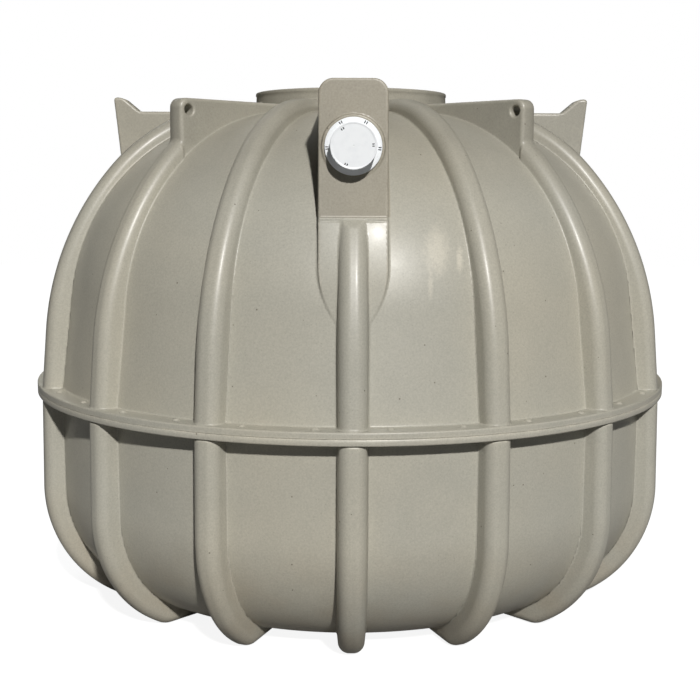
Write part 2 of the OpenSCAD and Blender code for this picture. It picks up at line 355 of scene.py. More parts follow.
    def upper_crest(self, p: np.ndarray) -> np.ndarray:
        """Distances outward from an upper rib's crest: a wide arc, then a tighter one towards the neck.

        Args:
            p: Places to measure from, in the rib's frame.

        Returns:
            Distances, one for each place.
        """
        x, z = p[:, 0], p[:, 2]
        centre = (self.crest_centre_r, self.joint_z + self.crest_centre_h)
        side = drafted_arc(x, z, centre, self.crest_r, self.crest_draft)
        shoulder = self.crest_shoulder
        top = np.hypot(np.maximum(x - shoulder[0], 0), z - shoulder[1]) - shoulder[2]
        over = (z - centre[1]) * math.cos(self.crest_turn) > (x - centre[0]) * math.sin(self.crest_turn)
        return np.where(over, top, side)

    def upper_rib(self, p: np.ndarray) -> np.ndarray:
        """Signed distances to an upper rib, in the rib's frame."""
        return self.rib_section(self.upper_crest(p), p[:, 1])

    def lower_rib(self, p: np.ndarray) -> np.ndarray:
        """Signed distances to a lower rib with its foot, in the rib's frame.

        Args:
            p: Places to measure from, in the rib's frame.

        Returns:
            Signed distances, one for each place.
        """
        x, z = p[:, 0], p[:, 2]
        corner, lean = self.corner_centre, self.lower_rib_lean
        wall = (x - corner[0] - self.low_crest_r) * math.cos(lean) + (z - corner[1]) * math.sin(lean)
        crest = self.bowl(x, z, wall, self.low_crest_r, self.toe, self.toe_angle, 0.0)
        rib = self.rib_section(crest, p[:, 1])
        rib = rounded(rib, z - (self.flange_bottom - self.lower_rib_gap), self.blends.flange_edge)
        return rounded(rib, self.foot_inner_r - x, self.blends.flange_edge)


@dataclass(frozen=True)
class LugForm:
    """Lifting lug: the rib stands up as a plate with a rounded corner and an eye through it."""

    tank: TankForm
    width: float = 0.060
    nose_r: float = 0.770
    top_h: float = 0.946
    corner_r: float = 0.030
    eye_r: float = 0.016
    eye_inset: float = 0.033
    eye_drop: float = 0.036
    rib_gap: float = 0.006
    nose_bow_r: float = 0.080
    nose_proud: float = 0.004

    def field(self, p: np.ndarray) -> np.ndarray:
        """Signed distances to the rib with its lug, in the rib's frame.

        Args:
            p: Places to measure from, in the rib's frame.

        Returns:
            Signed distances, one for each place.
        """
        top = self.tank.joint_z + self.top_h
        nose = p[:, 0] - self.nose_r - self.nose_proud + p[:, 1] ** 2 / (2 * self.nose_bow_r)
        outline = rounded(nose, p[:, 2] - top, self.corner_r)
        rib = self.tank.plated_rib(p, outline, self.width, top, self.nose_r - self.rib_gap)
        x, z = self.nose_r - self.eye_inset, top - self.eye_drop
        eye = np.hypot(p[:, 0] - x, p[:, 2] - z) - self.eye_r
        return rounded(rib, -eye, self.tank.blends.eye_edge)


@dataclass(frozen=True)
class PeakForm:
    """Outline of a plate seen from the side: a peak over its face, a ramp behind it and a level shelf."""

    face_r: float
    top_z: float
    shelf_z: float
    lean: float = 0.0
    peak_t: float = 0.033
    ramp: float = math.radians(40)
    ramp_foot: float = 0.005

    def face(self, p: np.ndarray) -> np.ndarray:
        """Distances outward from the face."""
        over = p[:, 2] - self.top_z
        return (p[:, 0] - self.face_r - over * math.tan(self.lean)) * math.cos(self.lean)

    def back(self, p: np.ndarray) -> np.ndarray:
        """Distances above the ramp and the shelf.

        Args:
            p: Places to measure from, in the rib's frame.

        Returns:
            Distances, one for each place.
        """
        over, behind = p[:, 2] - self.top_z, p[:, 0] - self.face_r + self.peak_t
        ramp = (over - behind * math.tan(self.ramp)) * math.cos(self.ramp)
        return fillet(ramp, p[:, 2] - self.shelf_z, self.ramp_foot)


@dataclass(frozen=True)
class FinForm:
    """Side fin: the rib stands up as a plate with a peak."""

    tank: TankForm
    face_r: float = 0.829
    top_h: float = 0.981
    shelf_h: float = 0.933
    lean: float = math.radians(6)
    tip_r: float = 0.011

    def field(self, p: np.ndarray) -> np.ndarray:
        """Signed distances to the rib with its fin, in the rib's frame.

        Args:
            p: Places to measure from, in the rib's frame.

        Returns:
            Signed distances, one for each place.
        """
        joint, top = self.tank.joint_z, self.tank.joint_z + self.top_h
        peak = PeakForm(self.face_r, top, joint + self.shelf_h, self.lean)
        tip = rounded(peak.face(p), p[:, 2] - top, self.tip_r)
        outline = rounded(tip, peak.back(p), self.tip_r)
        return self.tank.plated_rib(p, outline, self.tank.rib_w, top)


@dataclass(frozen=True)
class BlockForm:
    """Pipe block: the wide plate with its ledge, and the shoulders under it."""

    tank: TankForm
    width: float = 0.195
    face_r: float = 0.9215
    lean: float = math.radians(-4.9)
    top_h: float = 0.977
    corner_r: float = 0.042
    shelf_h: float = 0.933
    # Ledge
    ledge_h: float = 0.595
    ledge_r: float = 0.944
    ledge_t: float = 0.012
    ledge_edge: float = 0.0025
    ledge_foot: float = 0.002
    # Boss round the pipe
    pipe_h: float = 0.790
    bore_r: float = 0.069
    boss_r: float = 0.088
    boss_t: float = 0.006
    boss_edge: float = 0.003
    # Shoulders
    shoulder_lift: float = 0.070
    shoulder_low_lift: float = 0.034
    shoulder_end_h: float = 0.320
    shoulder_end_w: float = 0.110
    shoulder_edge: float = 0.004
    shoulder_sink: float = 0.004
    shoulder_foot: float = 0.003
    fade_limit: float = 1.6
    # Short rib
    rib_end_drop: float = 0.005
    rib_end_pitch: float = 1.3

    def plate(self, p: np.ndarray) -> np.ndarray:
        """Signed distances to the plate with its ledge and the boss round the pipe.

        Args:
            p: Places to measure from, in the rib's frame.

        Returns:
            Signed distances, one for each place.
        """
        joint, edge = self.tank.joint_z, self.tank.blends.block_edge
        top_r = self.face_r + (self.top_h - self.pipe_h) * math.tan(self.lean)
        peak = PeakForm(top_r, joint + self.top_h, joint + self.shelf_h, self.lean)
        front = rounded(p[:, 2] - joint - self.top_h, np.abs(p[:, 1]) - self.width / 2, self.corner_r)
        body = rounded(rounded(front, peak.back(p), edge), peak.face(p), edge)
        body = rounded(body, joint + self.ledge_h - self.ledge_t - p[:, 2], self.boss_edge)
        return fillet(fillet(body, self.ledge(p), self.ledge_foot), self.boss(p), self.boss_edge)

    def ledge(self, p: np.ndarray) -> np.ndarray:
        """Signed distances to the small step along the plate's foot.

        Args:
            p: Places to measure from, in the rib's frame.

        Returns:
            Signed distances, one for each place.
        """
        joint, edge = self.tank.joint_z, self.tank.blends.block_edge
        step = rounded(p[:, 0] - self.ledge_r, p[:, 2] - joint - self.ledge_h, self.ledge_edge)
        step = rounded(step, joint + self.ledge_h - 2 * self.ledge_t - p[:, 2], self.boss_edge)
        step = rounded(step, np.abs(p[:, 1]) - self.width / 2, edge)
        return rounded(step, self.face_r - self.boss_r - p[:, 0], edge)

    def boss(self, p: np.ndarray) -> np.ndarray:
        """Signed distances to the low disc round the pipe.

        Args:
            p: Places to measure from, in the rib's frame.

        Returns:
            Signed distances, one for each place.
        """
        front = p[:, 0] - self.face_r - self.boss_t
        disc = rounded(self.from_pipe(p) - self.boss_r, front, self.boss_edge)
        return rounded(disc, self.face_r - self.boss_r - p[:, 0], self.boss_edge)

    def from_pipe(self, p: np.ndarray) -> np.ndarray:
        """Distances from the pipe's axis."""
        return np.hypot(p[:, 1], p[:, 2] - self.tank.joint_z - self.pipe_h)

    def shoulders(self, p: np.ndarray) -> np.ndarray:
        """Signed distances to the band under the ledge, which narrows and fades out downward.

        Args:
            p: Places to measure from, in the rib's frame.

        Returns:
            Signed distances, one for each place.
        """
        z = p[:, 2] - self.tank.joint_z
        down = np.clip((self.ledge_h - z) / (self.ledge_h - self.shoulder_end_h), 0, 1)
        lift = self.shoulder_lift + (self.shoulder_low_lift - self.shoulder_lift) * down
        raised = self.tank.upper_body(np.hypot(p[:, 0], p[:, 1]), p[:, 2] - lift)
        middle = (self.ledge_h + self.shoulder_end_h) / 2
        share = np.clip((middle - z) / (middle - self.shoulder_end_h), 0, self.fade_limit)
        half = (self.width - (self.width - self.shoulder_end_w) * share**2) / 2
        sunk = raised + self.shoulder_sink * share**2
        band = rounded(sunk, np.abs(p[:, 1]) - half, self.shoulder_edge)
        return rounded(band, z - self.ledge_h + self.ledge_t, self.ledge_edge)

    def short_rib(self, p: np.ndarray) -> np.ndarray:
        """Signed distances to the rib under the ledge, with its sloping end.

        Args:
            p: Places to measure from, in the rib's frame.

        Returns:
            Signed distances, one for each place.
        """
        foot_z = self.tank.joint_z + self.ledge_h - self.rib_end_drop
        pitch = self.rib_end_pitch
        slope = ((p[:, 2] - foot_z) * pitch + (p[:, 0] - self.ledge_r)) / math.hypot(pitch, 1)
        slope = np.maximum(slope, p[:, 2] - foot_z)
        return rounded(self.tank.upper_rib(p), slope, self.ledge_edge)

    def field(self, p: np.ndarray) -> np.ndarray:
        """Signed distances to the block, its shoulders and its rib together, bored for the seal.

        Args:
            p: Places to measure from, in the rib's frame.

        Returns:
            Signed distances, one for each place.
        """
        block = fillet(self.plate(p), self.shoulders(p), self.shoulder_foot)
        joined = fillet(block, self.short_rib(p), self.tank.blends.rib_foot)
        return rounded(joined, self.bore_r - self.from_pipe(p), self.boss_edge)


# ---------------------------------------------------------------------------------------------------------
# Meshes
# ---------------------------------------------------------------------------------------------------------


def add_object(name: str, data: bpy.types.ID) -> bpy.types.Object:
    """Make an object of a mesh, a lamp or a camera and put it in the scene.

    Args:
        name: The object's name.
        data: What it shows.

    Returns:
        The new object.
    """
    obj = bpy.data.objects.new(name, data)
    bpy.context.scene.collection.objects.link(obj)
    return obj


@dataclass
class Skin:
    """Points, faces and normals of one piece."""

    points: np.ndarray
    faces: list[Sequence[int]]
    normals: np.ndarray | None = None

    def turned(self, angle: float) -> "Skin":
        """The skin turned about the tank's axis by an angle in radians.

        Args:
            angle: Angle in radians, counted from +X towards +Y.

        Returns:
            The turned skin.
        """
        c, s = math.cos(angle), math.sin(angle)
        spin = np.array([[c, -s, 0], [s, c, 0], [0, 0, 1]])
        normals = None if self.normals is None else self.normals @ spin.T
        return Skin(self.points @ spin.T, self.faces, normals)

    def part(self, chosen: np.ndarray) -> "Skin":
        """The skin's chosen faces alone.

        Args:
            chosen: One truth value for each face.

        Returns:
            A skin of those faces and the points that they use.
        """
        faces = np.asarray(self.faces)[chosen]
        used, flat = np.unique(faces, return_inverse=True)
        normals = None if self.normals is None else self.normals[used]
        return Skin(self.points[used], flat.reshape(faces.shape).tolist(), normals)

    def build(self, name: str) -> bpy.types.Object:
        """Make a smooth mesh object of the skin.

        Args:
            name: Name of the object and its mesh.

        Returns:
            The new object.
        """
        mesh = bpy.data.meshes.new(name)
        mesh.from_pydata(self.points.tolist(), [], [list(map(int, f)) for f in self.faces])
        mesh.validate()
        mesh.shade_smooth()
        if self.normals is not None:
            mesh.normals_split_custom_set_from_vertices(self.normals.tolist())
        return add_object(name, mesh)


def gradient(shape: Field, points: np.ndarray, step: float = 2e-4) -> np.ndarray:
    """Slope of a field at each point, by central differences.

    Args:
        shape: The distance field.
        points: Where to work it out.
        step: Half the distance compared.

    Returns:
        One slope for each point.
    """
    slope = np.empty_like(points)
    for axis in range(3):
        shift = np.zeros(3)
        shift[axis] = step
        slope[:, axis] = (shape(points + shift) - shape(points - shift)) / (2 * step)
    return slope


def settle(shape: Field, points: np.ndarray, rounds: int = 4) -> np.ndarray:
    """Move points along the field's slope until they lie on its surface.

    Args:
        shape: The distance field.
        points: The points to move.
        rounds: How often they are moved.

    Returns:
        The moved points.
    """
    for _ in range(rounds):
        slope = gradient(shape, points)
        size = np.maximum((slope * slope).sum(1), 0.05)
        points = points - (shape(points) / size)[:, None] * slope
    return points


@dataclass(frozen=True)
class Net:
    """Casts a net of quads over a distance field, one point for each cell that the surface crosses."""

    cell: float
    smoothing: int = 3
    pull: float = 0.6

    def cast(self, shape: Field, low: Sequence[float], high: Sequence[float]) -> Skin:
        """Mesh the field's surface inside a box.

        Args:
            shape: The distance field.
            low: Lowest corner of the box.
            high: Highest corner of the box.

        Returns:
            A skin of quads whose points lie near the surface.
        """
        axes = [np.arange(a, b + self.cell, self.cell) for a, b in zip(low, high)]
        counts = tuple(len(a) for a in axes)
        grid = np.stack(np.meshgrid(*axes, indexing="ij"), -1)
        values = shape(grid.reshape(-1, 3)).reshape(counts)
        inside = values < 0
        corners = [(i, j, k) for i in (0, 1) for j in (0, 1) for k in (0, 1)]
        cells = tuple(n - 1 for n in counts)
        filled = inside.astype(np.int8)
        total = sum(filled[i : i + cells[0], j : j + cells[1], k : k + cells[2]] for i, j, k in corners)
        crossed = np.argwhere((total > 0) & (total < 8))
        index = np.full(cells, -1, np.int64)
        index[tuple(crossed.T)] = np.arange(len(crossed))
        points = self._centres(values, crossed, corners)
        origin = np.array([a[0] for a in axes])
        return Skin(origin + points * self.cell, self._quads(inside, index))

    @staticmethod
    def _centres(values: np.ndarray, crossed: np.ndarray, corners: Sequence[Sequence[int]]) -> np.ndarray:
        """Mean of the places where the surface crosses each cell's edges.

        Args:
            values: The field's values on the grid.
            crossed: Indices of the cells that the surface crosses.
            corners: Steps from a cell's index to its eight corners.

        Returns:
            One place for each crossed cell, in cells.
        """
        sums, hits = np.zeros((len(crossed), 3)), np.zeros(len(crossed))
        for a in corners:
            for axis in range(3):
                if a[axis]:
                    continue
                b = tuple(v + (n == axis) for n, v in enumerate(a))
                va, vb = values[tuple((crossed + a).T)], values[tuple((crossed + b).T)]
                cut = (va < 0) != (vb < 0)
                share = np.where(cut, va / np.where(cut, va - vb, 1), 0)
                place = crossed + np.array(a) + share[:, None] * (np.array(b) - np.array(a))
                sums += np.where(cut[:, None], place, 0)
                hits += cut
        return sums / hits[:, None]

    @staticmethod
    def _quads(inside: np.ndarray, index: np.ndarray) -> np.ndarray:
        """Quads round every grid edge that the surface crosses, facing outward.

        Args:
            inside: Whether each grid point is inside.
            index: Number of each cell's point, or -1.

        Returns:
            Rows of four point numbers.
        """
        quads = []
        for axis in range(3):
            u, v = (axis + 1) % 3, (axis + 2) % 3
            start = np.take(inside, range(inside.shape[axis] - 1), axis)
            end = np.take(inside, range(1, inside.shape[axis]), axis)
            edges = np.argwhere(start != end)
            for side in (u, v):
                edges = edges[(edges[:, side] > 0) & (edges[:, side] < index.shape[side])]
            around = []
            for du, dv in ((1, 1), (0, 1), (0, 0), (1, 0)):
                cell = edges.copy()
                cell[:, u] -= du
                cell[:, v] -= dv
                around.append(index[tuple(cell.T)])
            quad = np.stack(around, 1)
            outward = start[tuple(edges.T)]
            quads.append(np.where(outward[:, None], quad, quad[:, ::-1]))
        return np.concatenate(quads)

    def relaxed(self, skin: Skin, shape: Field) -> Skin:
        """Even out a skin's quads and put every point exactly on the field's surface.

        Args:
            skin: The skin to even out.
            shape: The distance field.

        Returns:
            The skin with its points settled and the field's own normals.
        """
        faces = np.asarray(skin.faces)
        edges = np.concatenate([faces[:, [a, (a + 1) % 4]] for a in range(4)])
        points = settle(shape, skin.points, 3)
        count = np.bincount(edges.ravel(), minlength=len(points)).astype(float)
        pairs, uses = np.unique(np.sort(edges, 1), axis=0, return_counts=True)
        border = np.zeros(len(points), bool)
        border[pairs[uses == 1].ravel()] = True
        for _ in range(self.smoothing):
            near = np.zeros_like(points)
            for n in range(3):
                near[:, n] += np.bincount(edges[:, 0], points[edges[:, 1], n], len(points))
                near[:, n] += np.bincount(edges[:, 1], points[edges[:, 0], n], len(points))
            mean = near / np.maximum(count, 1)[:, None]
            points = np.where(border[:, None], points, (1 - self.pull) * points + self.pull * mean)
            points = settle(shape, points, 2)
        slope = gradient(shape, points)
        return Skin(points, faces, slope / np.linalg.norm(slope, axis=1)[:, None])


def lathe(profile: np.ndarray, steps: int) -> Skin:
    """Turn a profile about the tank's axis.

    Args:
        profile: Rows of distance from the axis and height, in order, with the outside on the right hand
            of the way from the first row to the last.
        steps: Number of faces round the axis.

    Returns:
        A skin that is open at the profile's two ends.
    """
    angles = np.arange(steps) * 2 * math.pi / steps
    ring = np.stack([np.cos(angles), np.sin(angles)], 1)
    rows = len(profile)
    points = np.empty((rows, steps, 3))
    points[:, :, :2] = profile[:, None, :1] * ring[None]
    points[:, :, 2] = profile[:, None, 1]
    a = np.arange(rows - 1)[:, None] * steps
    b, c = np.arange(steps)[None], (np.arange(steps)[None] + 1) % steps
    quads = np.stack([a + b, a + c, a + steps + c, a + steps + b], -1).reshape(-1, 4)
    return Skin(points.reshape(-1, 3), quads)


def arc(centre: Pair, radius: float, start: float, end: float, count: int) -> np.ndarray:
    """Points of an arc in a profile, with angles in radians above level."""
    angles = np.linspace(start, end, count)
    return np.stack([centre[0] + radius * np.cos(angles), centre[1] + radius * np.sin(angles)], 1)


def line(start: Pair, end: Pair, count: int) -> np.ndarray:
    """Evenly spaced points of a straight stretch in a profile, both ends included."""
    return np.linspace(start, end, count)


# ---------------------------------------------------------------------------------------------------------
# Finishes
# ---------------------------------------------------------------------------------------------------------


@dataclass
class Sheet:
    """A material's node tree, with short ways to add and join its nodes."""

    material: bpy.types.Material

    @classmethod
    def new(cls, name: str) -> "Sheet":
        """Start an empty node tree for a material.

        Args:
            name: The material's name.

        Returns:
            The empty sheet.
        """
        material = bpy.data.materials.new(name)
        material.use_nodes = True
        material.node_tree.nodes.clear()
        return cls(material)

    def add(self, kind: str, **settings: object) -> bpy.types.Node:
        """Add a node.

        Args:
            kind: The node's type, without its ShaderNode prefix.
            **settings: Attributes to set on the node.

        Returns:
            The new node.
        """
        node = self.material.node_tree.nodes.new(f"ShaderNode{kind}")
        for key, value in settings.items():
            setattr(node, key, value)
        return node

    def put(self, node: bpy.types.Node, **values: object) -> bpy.types.Node:
        """Set or link a node's inputs, named with underscores for spaces.

        Args:
            node: The node.
            **values: A number or colour to set, or an output socket to link.

        Returns:
            The same node.
        """
        for key, value in values.items():
            self.feed(node.inputs[key.replace("_", " ")], value)
        return node

    def feed(self, socket: Socket, value: object) -> None:
        """Link an output to a socket, or set the socket to a number, colour or place.

        Args:
            socket: The input.
            value: What it gets.
        """
        if isinstance(value, Socket):
            self.material.node_tree.links.new(value, socket)
        else:
            socket.default_value = value

    def feed_all(self, sockets: Sequence[Socket], *values: object) -> None:
        """Feed sockets with values, in order."""
        for socket, value in zip(sockets, values):
            self.feed(socket, value)

    def math(self, operation: str, *values: object) -> Socket:
        """Add a math node and return its output.

        Args:
            operation: What it works out.
            *values: Its inputs, in order.

        Returns:
            The result.
        """
        node = self.add("Math", operation=operation)
        self.feed_all(node.inputs, *values)
        return node.outputs[0]

    def vector(self, operation: str, *values: object) -> Socket:
        """Add a vector math node and return its output, which is a number for a length.

        Args:
            operation: What it works out.
            *values: Its inputs, in order.

        Returns:
            The result.
        """
        node = self.add("VectorMath", operation=operation)
        self.feed_all(node.inputs, *values)
        return node.outputs["Value" if operation == "LENGTH" else "Vector"]

    def place(self) -> Socket:
        """The place on the object, in metres."""
        return self.add("NewGeometry").outputs["Position"]

    def height(self, place: Socket) -> Socket:
        """The height of a place above the ground."""
        return self.put(self.add("SeparateXYZ"), Vector=place).outputs["Z"]

    def noise(self, place: Socket, scale: float, detail: float = 3.0) -> Socket:
        """A noise value from 0 to 1."""
        node = self.put(self.add("TexNoise"), Vector=place, Scale=scale, Detail=detail)
        return node.outputs[0]

    def cloud(self, place: Socket, cloud: "Cloud") -> Socket:
        """A noise of which one part is stretched to run from 0 to 1."""
        return self.spread(self.noise(place, cloud.scale, cloud.detail), cloud.low, cloud.high)

    def spread(self, value: Socket, low: float, high: float) -> Socket:
        """Stretch the part of a value between low and high to run from 0 to 1."""
        node = self.put(self.add("MapRange", clamp=True), Value=value, From_Min=low, From_Max=high)
        return node.outputs["Result"]

    def between(self, value: Socket, low: float, high: float) -> Socket:
        """Make a value from 0 to 1 run from low to high."""
        return self.put(self.add("MapRange"), Value=value, To_Min=low, To_Max=high).outputs["Result"]

    def mix(self, share: object, a: object, b: object, blend: str = "MIX") -> Socket:
        """Mix two colours, each given as a colour or a socket.

        Args:
            share: How much of the second.
            a: The first.
            b: The second.
            blend: How they blend.

        Returns:
            The mixed colour.
        """
        node = self.add("Mix", data_type="RGBA", blend_type=blend)
        self.feed_all((node.inputs[0], node.inputs[6], node.inputs[7]), share, a, b)
        return node.outputs[2]

    def bump(self, height: Socket, strength: float, distance: float, **under: Socket) -> Socket:
        """The normal that a height gives the surface, laid over another Normal if there is one."""
        node = self.put(self.add("Bump"), Strength=strength, Distance=distance, Height=height, **under)
        return node.outputs["Normal"]

    def finish(self, **values: object) -> bpy.types.Material:
        """End the tree in a principled shader.

        Args:
            **values: The shader's inputs, as numbers, colours or outputs.

        Returns:
            The finished material.
        """
        shader = self.put(self.add("BsdfPrincipled"), **values)
        self.put(self.add("OutputMaterial"), Surface=shader.outputs["BSDF"])
        return self.material


def tone(red: float, green: float, blue: float) -> Colour:
    """A shader colour from display values between 0 and 255.

    Args:
        red: Red, 0 to 255.
        green: Green, 0 to 255.
        blue: Blue, 0 to 255.

    Returns:
        Red, green, blue and alpha, in linear light.
    """
    parts = [c / 255 for c in (red, green, blue)]
    linear = [c / 12.92 if c <= 0.04045 else ((c + 0.055) / 1.055) ** 2.4 for c in parts]
    return (*linear, 1.0)


def grey(level: float) -> Colour:
    """A grey shader colour of one level."""
    return (level, level, level, 1.0)


@dataclass(frozen=True)
class Cloud:
    """A soft noise: its scale and detail, and the part of it that runs from 0 to 1."""

    scale: float
    detail: float
    low: float
    high: float


@dataclass(frozen=True)
class Specks:
    """Specks of one size: their cells' closeness, size in a cell, share left out and strength."""

    scale: float
    size: float
    left_out: float
    strength: float


@dataclass(frozen=True)
class RubAndSheen:
    """A soft pale patch on the skin, laid for rub marks and for painted sheen."""

    at: Triple
    size: Triple
    strength: float


@dataclass(frozen=True)
class SpeckledPlastic:
    """Grey-beige moulded plastic with fine speckle, sparse dark specks and faint clouding, with painted shade
    on the crown and painted highlights and sheen laid over its wear.
    """

    base: Colour = tone(178, 174, 160)
    cool: Colour = tone(172, 170, 159)
    earth: Colour = tone(168, 152, 128)
    speck: Colour = tone(92, 84, 72)
    # Pale tone for clouding and wear, also used for painted sheen and painted highlights.
    pale_tone_and_sheen: Colour = tone(214, 208, 192)
    # Painted shade: the darker tone laid on the crown in place of light falling on the top.
    crown_shade: Colour = tone(134, 129, 117)
    name: str = "speckled_plastic"
    patches: Cloud = Cloud(1.6, 2, 0.38, 0.62)
    clouds: Cloud = Cloud(11, 4, 0.3, 0.7)
    cloud_share: float = 0.07
    # Dirt towards the ground, and painted shade on the crown
    splashes: Cloud = Cloud(7, 5, 0.35, 0.75)
    splash_top: float = 0.42
    splash_share: float = 0.55
    crown_shade_from: float = 1.34
    crown_shade_full: float = 1.54
    crown_shade_share: float = 0.36
    # Wear and painted light: pale edges with painted highlights, rub marks and painted sheen
    edge_bend: Pair = (0.51, 0.56)
    edge_scuffs_and_highlights: Cloud = Cloud(23, 4, 0.25, 0.6)
    edge_lightening_share: float = 0.4
    rub_sheen_edge: float = 0.9
    # Rub marks and painted sheen: the broad first patch is painted sheen where the key light's gloss falls on
    # the dome, the narrow ones are rub marks.
    rubs_and_sheen: tuple[RubAndSheen, ...] = (
        RubAndSheen((0.235, -0.93, 1.215), (0.045, 0.2, 0.085), 0.5),
        RubAndSheen((0.30, -0.90, 1.19), (0.012, 0.2, 0.045), 0.6),
        RubAndSheen((0.215, -0.96, 1.12), (0.010, 0.2, 0.05), 0.35),
    )
    # Speckle and gloss
    grain: Cloud = Cloud(190, 2, 0.32, 0.68)
    grain_dark: float = 0.92
    grain_light: float = 1.06
    specks: tuple[Specks, ...] = (Specks(150.0, 0.18, 0.75, 0.2), Specks(30.0, 0.06, 0.80, 0.7))
    rough: Pair = (0.36, 0.46)

    def make(self) -> bpy.types.Material:
        """Build the material.

        Returns:
            The finished material.
        """
        sheet = Sheet.new(self.name)
        place = sheet.place()
        colour = sheet.mix(sheet.cloud(place, self.patches), self.base, self.cool)
        clouded = sheet.math("MULTIPLY", sheet.cloud(place, self.clouds), self.cloud_share)
        colour = sheet.mix(clouded, colour, self.pale_tone_and_sheen)
        colour = self._foot_dirt(sheet, place, colour)
        colour = self._painted_crown_shade(sheet, place, colour)
        colour = self._rubs_and_sheen(sheet, place, colour)
        colour = self._edge_wear_and_highlight(sheet, place, colour)
        colour = self._grain(sheet, place, colour)
        colour = sheet.mix(self._specks(sheet, place), colour, self.speck)
        return sheet.finish(
            Base_Color=colour,
            Roughness=sheet.between(sheet.noise(place, 34, 3), *self.rough),
            Normal=self._skin(sheet, place),
            IOR=1.5,
            Coat_Weight=0.06,
            Coat_Roughness=0.2,
        )

    def _foot_dirt(self, sheet: Sheet, place: Socket, colour: Socket) -> Socket:
        """Brown splash dirt that gathers towards the ground.

        Args:
            sheet: The material's node tree.
            place: The place on the object.
            colour: The colour so far.

        Returns:
            The colour with this laid over it.
        """
        low = sheet.spread(sheet.height(place), self.splash_top, 0.0)
        share = sheet.math("MULTIPLY", low, sheet.cloud(place, self.splashes))
        return sheet.mix(sheet.math("MULTIPLY", share, self.splash_share), colour, self.earth)

    def _painted_crown_shade(self, sheet: Sheet, place: Socket, colour: Socket) -> Socket:
        """Painted shade on the crown and on what stands there: a dull, uneven dusty tone that darkens the
        upper faces in place of the light that falls on the top.

        Args:
            sheet: The material's node tree.
            place: The place on the object.
            colour: The colour so far.

        Returns:
            The colour with this laid over it.
        """
        cloud = sheet.math("MULTIPLY", sheet.noise(place, 9, 5), self.crown_shade_share)
        uneven = sheet.math("ADD", cloud, self.crown_shade_share / 2)
        # Painted shade, rising with height towards the crown.
        high = sheet.spread(sheet.height(place), self.crown_shade_from, self.crown_shade_full)
        return sheet.mix(sheet.math("MULTIPLY", high, uneven), colour, self.crown_shade)

    def _rubs_and_sheen(self, sheet: Sheet, place: Socket, colour: Socket) -> Socket:
        """Pale rub marks where something brushed the dome, and a painted sheen where the light's gloss falls
        on the dome right of the inlet block.

        Args:
            sheet: The material's node tree.
            place: The place on the object.
            colour: The colour so far.

        Returns:
            The colour with this laid over it.
        """
        # Each patch lightens the skin: rub marks, and painted sheen.
        for pale_patch in self.rubs_and_sheen:
            apart = sheet.vector("DIVIDE", sheet.vector("SUBTRACT", place, pale_patch.at), pale_patch.size)
            rough = sheet.math("MULTIPLY", sheet.noise(place, 60, 4), self.rub_sheen_edge)
            ragged = sheet.math("SUBTRACT", rough, self.rub_sheen_edge / 2)
            edge = sheet.math("ADD", sheet.vector("LENGTH", apart), ragged)
            share = sheet.math("MULTIPLY", sheet.spread(edge, 1.0, 0.35), pale_patch.strength)
            colour = sheet.mix(share, colour, self.pale_tone_and_sheen)
        return colour

    def _edge_wear_and_highlight(self, sheet: Sheet, place: Socket, colour: Socket) -> Socket:
        """Pale scuffs along the sharper edges, partly painted highlights on convex edges such as the rib
        crests.

        Args:
            sheet: The material's node tree.
            place: The place on the object.
            colour: The colour so far.

        Returns:
            The colour with this laid over it.
        """
        # Painted highlight with wear: convex edges lighten whatever the light, broken up by ragged scuffs.
        bend = sheet.spread(sheet.add("NewGeometry").outputs["Pointiness"], *self.edge_bend)
        lightened = sheet.math("MULTIPLY", bend, sheet.cloud(place, self.edge_scuffs_and_highlights))
        return sheet.mix(sheet.math("MULTIPLY", lightened, self.edge_lightening_share), colour, self.pale_tone_and_sheen)

    def _grain(self, sheet: Sheet, place: Socket, colour: Socket) -> Socket:
        """Fine speckle of the moulded powder, a little darker and lighter than the plastic.

        Args:
            sheet: The material's node tree.
            place: The place on the object.
            colour: The colour so far.

        Returns:
            The colour with this laid over it.
        """
        ramp = sheet.add("ValToRGB")
        ramp.color_ramp.elements[0].color = grey(self.grain_dark)
        ramp.color_ramp.elements[1].color = grey(self.grain_light)
        sheet.put(ramp, Fac=sheet.cloud(place, self.grain))
        return sheet.mix(1.0, colour, ramp.outputs["Color"], "MULTIPLY")

    def _specks(self, sheet: Sheet, place: Socket) -> Socket:
        """Share of dark specks: small and close, and larger and sparse.

        Args:
            sheet: The material's node tree.
            place: The place on the object.

        Returns:
            How much of each place is speck, 0 to 1.
        """
        shares = []
        for kind in self.specks:
            cells = sheet.put(sheet.add("TexVoronoi"), Vector=place, Scale=kind.scale)
            near = sheet.spread(cells.outputs["Distance"], kind.size * 1.5, kind.size)
            pick = sheet.put(sheet.add("SeparateColor"), Color=cells.outputs["Color"]).outputs["Red"]
            kept = sheet.math("MULTIPLY", near, sheet.spread(pick, kind.left_out, kind.left_out + 0.05))
            shares.append(sheet.math("MULTIPLY", kept, kind.strength))
        return sheet.math("MAXIMUM", *shares)

    def _skin(self, sheet: Sheet, place: Socket) -> Socket:
        """Slightly uneven skin: shallow waves and a fine grain."""
        waves = sheet.bump(sheet.noise(place, 6, 2), 0.3, 0.004)
        return sheet.bump(sheet.noise(place, 180, 3), 0.2, 0.0006, Normal=waves)


